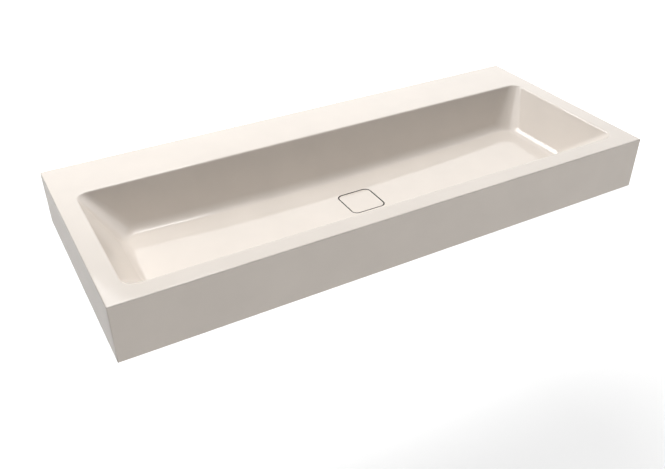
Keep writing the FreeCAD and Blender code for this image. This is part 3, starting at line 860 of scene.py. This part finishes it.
def brass_finish(tones):
    """Machined brass, slightly tarnished."""
    finish = Finish("brass", metallic=1.0)
    finish.mottle(finish.noise(0.010, 4.0), tones.brass, 0.78, 1.06)
    finish.roughness(finish.noise(0.004, 3.0), 0.24, 0.4)
    finish.bump((finish.noise(0.0008, 2.0, finish.stretched(1, 1, 0.08)), 0.00003))
    return finish.material


def rubber_finish(tones):
    """Matt moulded rubber with a trace of talc."""
    finish = Finish("rubber")
    finish.colour(finish.noise(0.007, 4.0), 0.35, tones.rubber, 0.8, toned(tones.rubber, 2.2))
    finish.roughness(finish.noise(0.002), 0.68, 0.88)
    finish.bump((finish.noise(0.0007), 0.00006))
    return finish.material


def stainless_finish(tones):
    """Turned stainless steel."""
    finish = Finish("turned_stainless", metallic=1.0)
    drawn = finish.noise(0.003, 2.0, finish.stretched(1, 1, 14))
    finish.mottle(finish.noise(0.004, 3.0), tones.stainless, 0.9, 1.06)
    finish.roughness(drawn, 0.22, 0.36)
    finish.bump((drawn, 0.00002))
    return finish.material


def acetal_finish(tones):
    """Moulded acetal, satin and slightly streaked."""
    finish = Finish("acetal")
    finish.mottle(finish.noise(0.006, 3.0, finish.stretched(1, 1, 0.25)), tones.acetal, 0.9, 1.1)
    finish.roughness(finish.noise(0.002), 0.34, 0.46)
    finish.bump((finish.noise(0.0007), 0.00003))
    return finish.material


def paint(material, *nodes):
    """Gives carried-over CAD nodes a finish."""
    for node in nodes:
        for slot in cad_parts[node].material_slots:
            slot.material = material


class WASHBASIN_OT_shell(bpy.types.Operator):
    """Build the enamelled shell: deck, bowl, drain recess, apron and return flange in one even sheet"""

    bl_idname = "washbasin.shell"
    bl_label = "Shell"

    def execute(self, context):
        sizes = context.scene.washbasin_shell
        tones = context.scene.washbasin_finishes
        mesh = bmesh.new()
        loops, start, stop = shell_loops(sizes)
        skin(mesh, loops, True, start, stop)
        closed(mesh)
        piece = mesh_object("basin_shell", mesh)
        # The second coat is the real ground coat under the basin and painted shade on the drain recess
        coats = [enamel_finish(tones), ground_coat_and_gap_shade_finish(tones)]
        for coat in coats:
            piece.data.materials.append(coat)
        combine(piece, [self.bolt_cutter(sizes, side) for side in (-1, 1)], "DIFFERENCE")
        place_piece(piece, "basin", ("bowl_pressing", "apron_skirt", "return_flange"), coats)
        return {"FINISHED"}

    def bolt_cutter(self, sizes, side):
        """Round cutter for one bolt hole in the back apron."""
        mesh = bmesh.new()
        place = Matrix.Translation((side * STUD_X, BACK - SHEET / 2, 0))
        bmesh.ops.create_cone(
            mesh,
            cap_ends=True,
            segments=CUTTER_STEPS,
            radius1=sizes.stud_hole,
            radius2=sizes.stud_hole,
            depth=2 * SHEET,
            matrix=place @ Matrix.Rotation(QUARTER_TURN, 4, "X"),
        )
        return mesh_object(f"bolt_cutter_{'left' if side < 0 else 'right'}", mesh)


class WASHBASIN_OT_cover(bpy.types.Operator):
    """Build the lift-off drain cover: a shallow tray upside down, enamelled on top and ground-coated
    underneath, with the dark coat carried over its edge and skirt as painted shade for the gap round it
    """

    bl_idname = "washbasin.cover"
    bl_label = "Drain cover"

    def execute(self, context):
        loops, edge_start = self.tray_loops(context.scene.washbasin_cover)
        mesh = bmesh.new()
        rows = skin(mesh, loops, False, 0, edge_start)
        mesh.faces.new(rows[0])
        mesh.faces.new(rows[-1]).material_index = 1
        closed(mesh)
        piece = mesh_object("drain_cover_plate", mesh)
        coats = [bpy.data.materials[name] for name in ("vitreous_enamel", "ground_coat")]
        place_piece(piece, "cover", ("drain_cover",), coats)
        return {"FINISHED"}

    def tray_loops(self, sizes):
        """Loops from the middle of the face to that of the underside, and where the edge starts, which is
        where the dark coat begins: painted shade on the edge and skirt, ground coat underneath.
        """
        counts = Counts(sizes.corner_steps, sizes.side_steps, sizes.side_steps)
        half, corner, edge = COVER_HALF, sizes.corner, sizes.edge
        loops = []
        for share in COVER_RINGS:
            height = DRAIN_FLOOR - sizes.crown * share**2
            loops.append(drain_loop(counts, (half - edge) * share, (corner - edge) * share, height))
        # From the edge on the faces are dark: painted shade on the edge and skirt for the gap, ground coat
        # underneath
        edge_start = len(loops) - 1
        side_top = DRAIN_FLOOR - sizes.crown
        for inset, drop in quarter_round(edge, COVER_EDGE_STEPS)[1:]:
            loops.append(drain_loop(counts, half - inset, corner - inset, side_top - drop))
        loops.append(drain_loop(counts, half, corner, COVER_BOTTOM))
        half, corner = half - SHEET, corner - SHEET
        loops.append(drain_loop(counts, half, corner, COVER_BOTTOM))
        for share in (COVER_RINGS[-1], COVER_RINGS[0]):
            loops.append(drain_loop(counts, half * share, corner * share, DRAIN_FLOOR - SHEET))
        return loops, edge_start


class WASHBASIN_OT_bolts(bpy.types.Operator):
    """Build the two hanger bolts: machine thread under the nut, neck, pointed screw thread in the wall"""

    bl_idname = "washbasin.bolts"
    bl_label = "Hanger bolts"

    def execute(self, context):
        sizes = context.scene.washbasin_bolts
        mesh = bmesh.new()
        for side in (-1, 1):
            bolt = self.bolt(sizes)
            place = Matrix.Translation((side * STUD_X, 0, 0))
            bolt.transform(place @ Matrix.Rotation(-QUARTER_TURN, 4, "X"))
            data = bpy.data.meshes.new("bolt")
            bolt.to_mesh(data)
            bolt.free()
            mesh.from_mesh(data)
            bpy.data.meshes.remove(data)
        piece = mesh_object("hanger_bolt_threads", mesh)
        zinc = zinc_finish(context.scene.washbasin_finishes)
        place_piece(piece, "basin", ("hanger_bolts",), [zinc])
        return {"FINISHED"}

    def bolt(self, sizes):
        """One bolt along the upright axis, its wall end up."""
        count = sizes.round_steps
        root = STUD_RADIUS - sizes.thread_depth
        neck = sizes.neck_radius
        screw_root = sizes.screw_radius - sizes.screw_depth
        screw_stop = STUD_POINT - sizes.point_radius
        neck_start = -sizes.neck_length
        thread_start = STUD_END + sizes.chamfer

        def narrowed(radius, along):
            """Radius as it shrinks towards the point."""
            share = min(1, (STUD_POINT - along) / sizes.point_length)
            return max(radius * share, sizes.point_radius)

        mesh = bmesh.new()
        end = ring_row(mesh, root - sizes.chamfer * CHAMFER_SLOPE, STUD_END, count)
        mesh.faces.new(end)
        join_rows(mesh, [end, ring_row(mesh, root, thread_start, count)])
        machine_thread(mesh, sizes.thread_pitch, thread_start, neck_start, STUD_RADIUS, root, count)
        turn_profile(mesh, [(root, neck_start), (neck, neck_start), (neck, 0), (screw_root, 0)], count)
        cut_thread(
            mesh,
            SCREW_THREAD_SHARES,
            sizes.screw_pitch,
            0,
            screw_stop,
            lambda along: narrowed(sizes.screw_radius, along),
            lambda along: narrowed(screw_root, along),
            count,
        )
        shoulder = ring_row(mesh, narrowed(screw_root, screw_stop), screw_stop, count)
        point = ring_row(mesh, sizes.point_radius / 2, STUD_POINT, count)
        join_rows(mesh, [shoulder, point])
        mesh.faces.new(point)
        closed(mesh)
        return mesh


class WASHBASIN_OT_waste(bpy.types.Operator):
    """Build the waste body: flange, funnel, threaded tail, and a cross whose hub takes the cover's stem"""

    bl_idname = "washbasin.waste"
    bl_label = "Waste body"

    def execute(self, context):
        sizes = context.scene.washbasin_waste
        piece = self.casting(sizes)
        spokes = [self.spoke(sizes, index) for index in range(sizes.spoke_count)]
        combine(piece, [self.hub(sizes)] + spokes, "UNION")
        chrome = chrome_finish(context.scene.washbasin_finishes)
        place_piece(piece, "basin", ("waste_body",), [chrome])
        return {"FINISHED"}

    def casting(self, sizes):
        """Flange, funnel and threaded tail."""
        count = sizes.round_steps
        crest = sizes.thread_radius
        root = crest - sizes.thread_depth
        relief = crest - sizes.relief_depth
        relief_top = LOCK_NUT_BOTTOM - sizes.run_out
        tail_top = relief_top - sizes.relief_width
        tail_end = WASTE_END + sizes.tail_chamfer
        body = [
            (root, tail_end),
            (root - sizes.tail_chamfer * CHAMFER_SLOPE, WASTE_END),
            (sizes.bore_radius, WASTE_END),
            (sizes.bore_radius, FLANGE_SEAT),
            (sizes.funnel_radius, FLANGE_TOP),
            *round_edge(FLANGE_RADIUS, FLANGE_TOP, sizes.flange_edge, 1),
            (FLANGE_RADIUS, FLANGE_SEAT),
            (root, FLANGE_SEAT),
        ]
        groove = [(root, tail_top), (relief, tail_top), (relief, relief_top), (root, relief_top)]
        mesh = bmesh.new()
        turn_profile(mesh, body, count)
        turn_profile(mesh, groove, count)
        for start, stop in ((relief_top, FLANGE_SEAT), (tail_end, tail_top)):
            machine_thread(mesh, sizes.thread_pitch, start, stop, crest, root, count)
        closed(mesh)
        bmesh.ops.translate(mesh, verts=mesh.verts, vec=DRAIN)
        return mesh_object("waste_casting", mesh)

    def hub(self, sizes):
        """Ring in the middle of the cross, its outer edges softened."""
        top = FLANGE_SEAT - sizes.hub_drop
        bottom = top - sizes.hub_height
        profile = (
            round_edge(sizes.hub_radius, top, sizes.hub_edge, 1)
            + round_edge(sizes.hub_radius, bottom, sizes.hub_edge, -1)[::-1]
            + [(sizes.hub_bore, bottom), (sizes.hub_bore, top)]
        )
        mesh = bmesh.new()
        turn_profile(mesh, profile + profile[:1], sizes.round_steps)
        closed(mesh)
        bmesh.ops.translate(mesh, verts=mesh.verts, vec=DRAIN)
        return mesh_object("waste_hub", mesh)

    def spoke(self, sizes, index):
        """One arm of the cross, rounded along its upper edges."""
        bottom = FLANGE_SEAT - sizes.hub_drop - sizes.hub_height
        half = sizes.spoke_width / 2
        near = (sizes.hub_bore + sizes.hub_radius) / 2
        far = sizes.bore_radius + sizes.hub_edge
        upper = round_edge(half, bottom + sizes.spoke_height, sizes.hub_edge, 1)
        mirrored = [(-across, along) for across, along in upper]
        section = [(half, bottom)] + upper[::-1] + mirrored + [(-half, bottom)]
        mesh = bmesh.new()
        ends = []
        for reach in (near, far):
            ends.append([mesh.verts.new((reach, across, along)) for across, along in section])
        join_rows(mesh, ends)
        for end in ends:
            mesh.faces.new(end)
        closed(mesh)
        turn = FULL_TURN * index / sizes.spoke_count
        mesh.transform(Matrix.Translation(DRAIN) @ Matrix.Rotation(turn, 4, "Z"))
        return mesh_object(f"waste_spoke_{index}", mesh)


class WASHBASIN_OT_fittings(bpy.types.Operator):
    """Give the fittings that keep their CAD shape their finishes"""

    bl_idname = "washbasin.fittings"
    bl_label = "Fittings"

    def execute(self, context):
        tones = context.scene.washbasin_finishes
        paint(bitumen_finish(tones), "sound_pad_left", "sound_pad_right")
        paint(bpy.data.materials["zinc_plate"], "wall_rail", "bolt_washers", "bolt_nuts")
        paint(nylon_finish(tones), "bolt_sleeves", "slip_washer")
        paint(rubber_finish(tones), "flange_gasket", "lower_gasket", "cover_feet", "stem_ring")
        paint(brass_finish(tones), "lock_nut")
        paint(stainless_finish(tones), "cover_boss", "stem_screw")
        paint(acetal_finish(tones), "cover_stem")
        return {"FINISHED"}


class WASHBASIN_OT_stage(bpy.types.Operator):
    """Set up the pale floor, the soft lights and the camera"""

    bl_idname = "washbasin.stage"
    bl_label = "Stage"

    def execute(self, context):
        stage = context.scene.washbasin_stage
        context.scene.view_settings.view_transform = "Standard"
        self.camera(context.scene, stage)
        self.floor(stage)
        self.surroundings(context.scene, stage)
        for box in SOFTBOXES:
            self.softbox(context.scene, box, getattr(stage, box.name))
        return {"FINISHED"}

    def camera(self, scene, stage):
        """Camera at the photograph's angle."""
        camera = bpy.data.objects.new("camera", bpy.data.cameras.new("camera"))
        camera.location = stage.eye
        camera.rotation_euler = Euler(stage.view_turn)
        camera.data.lens = stage.lens
        camera.data.sensor_width = SENSOR_WIDTH
        scene.collection.objects.link(camera)
        scene.camera = camera

    def floor(self, stage):
        """Wide pale floor that keeps the basin's shadow."""
        mesh = bmesh.new()
        bmesh.ops.create_grid(mesh, x_segments=1, y_segments=1, size=stage.floor_size / 2)
        floor = mesh_object("floor", mesh)
        floor.location.z = -stage.floor_drop
        floor.data.materials.append(self.floor_finish(stage))

    def floor_finish(self, stage):
        """Pale paint that shows whiter to the camera the further out it lies."""
        material = bpy.data.materials.new("floor")
        material.use_nodes = True
        tree = material.node_tree
        tree.nodes.remove(tree.nodes["Principled BSDF"])
        tone = (stage.floor_shade, stage.floor_shade, stage.floor_shade, 1)
        pale = add_node(tree, "ShaderNodeBsdfDiffuse", {"Color": tone})
        place = add_node(tree, "ShaderNodeTexCoord", {}, "Object")
        whiter = {
            "Value": add_node(tree, "ShaderNodeVectorMath", {0: place}, "Value", operation="LENGTH"),
            "From Min": stage.glow_start,
            "From Max": stage.glow_stop,
            "To Min": stage.floor_glow,
            "To Max": 1.0,
        }
        white = add_node(tree, "ShaderNodeMapRange", whiter, interpolation_type="SMOOTHSTEP")
        glow = add_node(tree, "ShaderNodeEmission", {"Color": white, "Strength": self.seen(tree, 1.0)})
        both = add_node(tree, "ShaderNodeAddShader", {0: pale, 1: glow})
        tree.links.new(both, tree.nodes["Material Output"].inputs["Surface"])
        return material

    def seen(self, tree, strength):
        """This strength for the camera's rays, straight or by gloss or glass, and none for others."""
        path = tree.nodes.new("ShaderNodeLightPath").outputs
        total = path["Is Camera Ray"]
        for name in ("Is Glossy Ray", "Is Transmission Ray"):
            total = add_node(tree, "ShaderNodeMath", {0: total, 1: path[name]}, operation="MAXIMUM")
        return add_node(tree, "ShaderNodeMath", {0: total, 1: strength}, operation="MULTIPLY")

    def surroundings(self, scene, stage):
        """Even light all round, seen as white."""
        world = bpy.data.worlds.new("surroundings")
        world.use_nodes = True
        scene.world = world
        tree = world.node_tree
        background = tree.nodes["Background"]
        background.inputs["Color"].default_value = (1, 1, 1, 1)
        strengths = {0: self.seen(tree, 1 - stage.ambient), 1: stage.ambient}
        total = add_node(tree, "ShaderNodeMath", strengths, operation="ADD")
        tree.links.new(total, background.inputs["Strength"])

    def softbox(self, scene, box, power):
        """Large soft lamp turned to the basin."""
        lamp = bpy.data.lights.new(box.name, "AREA")
        lamp.shape = "RECTANGLE"
        lamp.size, lamp.size_y = box.size
        lamp.energy = power
        holder = bpy.data.objects.new(box.name, lamp)
        holder.location = box.place
        holder.rotation_euler = (LIGHT_AIM - Vector(box.place)).to_track_quat("-Z", "Y").to_euler()
        holder.visible_camera = False
        scene.collection.objects.link(holder)


class WASHBASIN_PT_panel(bpy.types.Panel):
    """Buttons for the washbasin's pieces and stage"""

    bl_idname = "WASHBASIN_PT_panel"
    bl_label = "Washbasin"
    bl_space_type = "VIEW_3D"
    bl_region_type = "UI"
    bl_category = "Washbasin"

    def draw(self, context):
        for operator in OPERATORS:
            self.layout.operator(operator.bl_idname)


OPERATORS = (
    WASHBASIN_OT_shell,
    WASHBASIN_OT_cover,
    WASHBASIN_OT_bolts,
    WASHBASIN_OT_waste,
    WASHBASIN_OT_fittings,
    WASHBASIN_OT_stage,
)
SETTINGS = {
    "washbasin_shell": ShellSettings,
    "washbasin_cover": CoverSettings,
    "washbasin_bolts": BoltSettings,
    "washbasin_waste": WasteSettings,
    "washbasin_finishes": FinishSettings,
    "washbasin_stage": StageSettings,
}


def register():
    for name, settings in SETTINGS.items():
        bpy.utils.register_class(settings)
        setattr(bpy.types.Scene, name, PointerProperty(type=settings))
    for operator in OPERATORS:
        bpy.utils.register_class(operator)
    bpy.utils.register_class(WASHBASIN_PT_panel)


def unregister():
    bpy.utils.unregister_class(WASHBASIN_PT_panel)
    for operator in reversed(OPERATORS):
        bpy.utils.unregister_class(operator)
    for name, settings in SETTINGS.items():
        delattr(bpy.types.Scene, name)
        bpy.utils.unregister_class(settings)


def main():
    register()
    bpy.ops.washbasin.shell()
    bpy.ops.washbasin.cover()
    bpy.ops.washbasin.bolts()
    bpy.ops.washbasin.waste()
    bpy.ops.washbasin.fittings()
    bpy.ops.washbasin.stage()


if __name__ == "__main__":
    main()
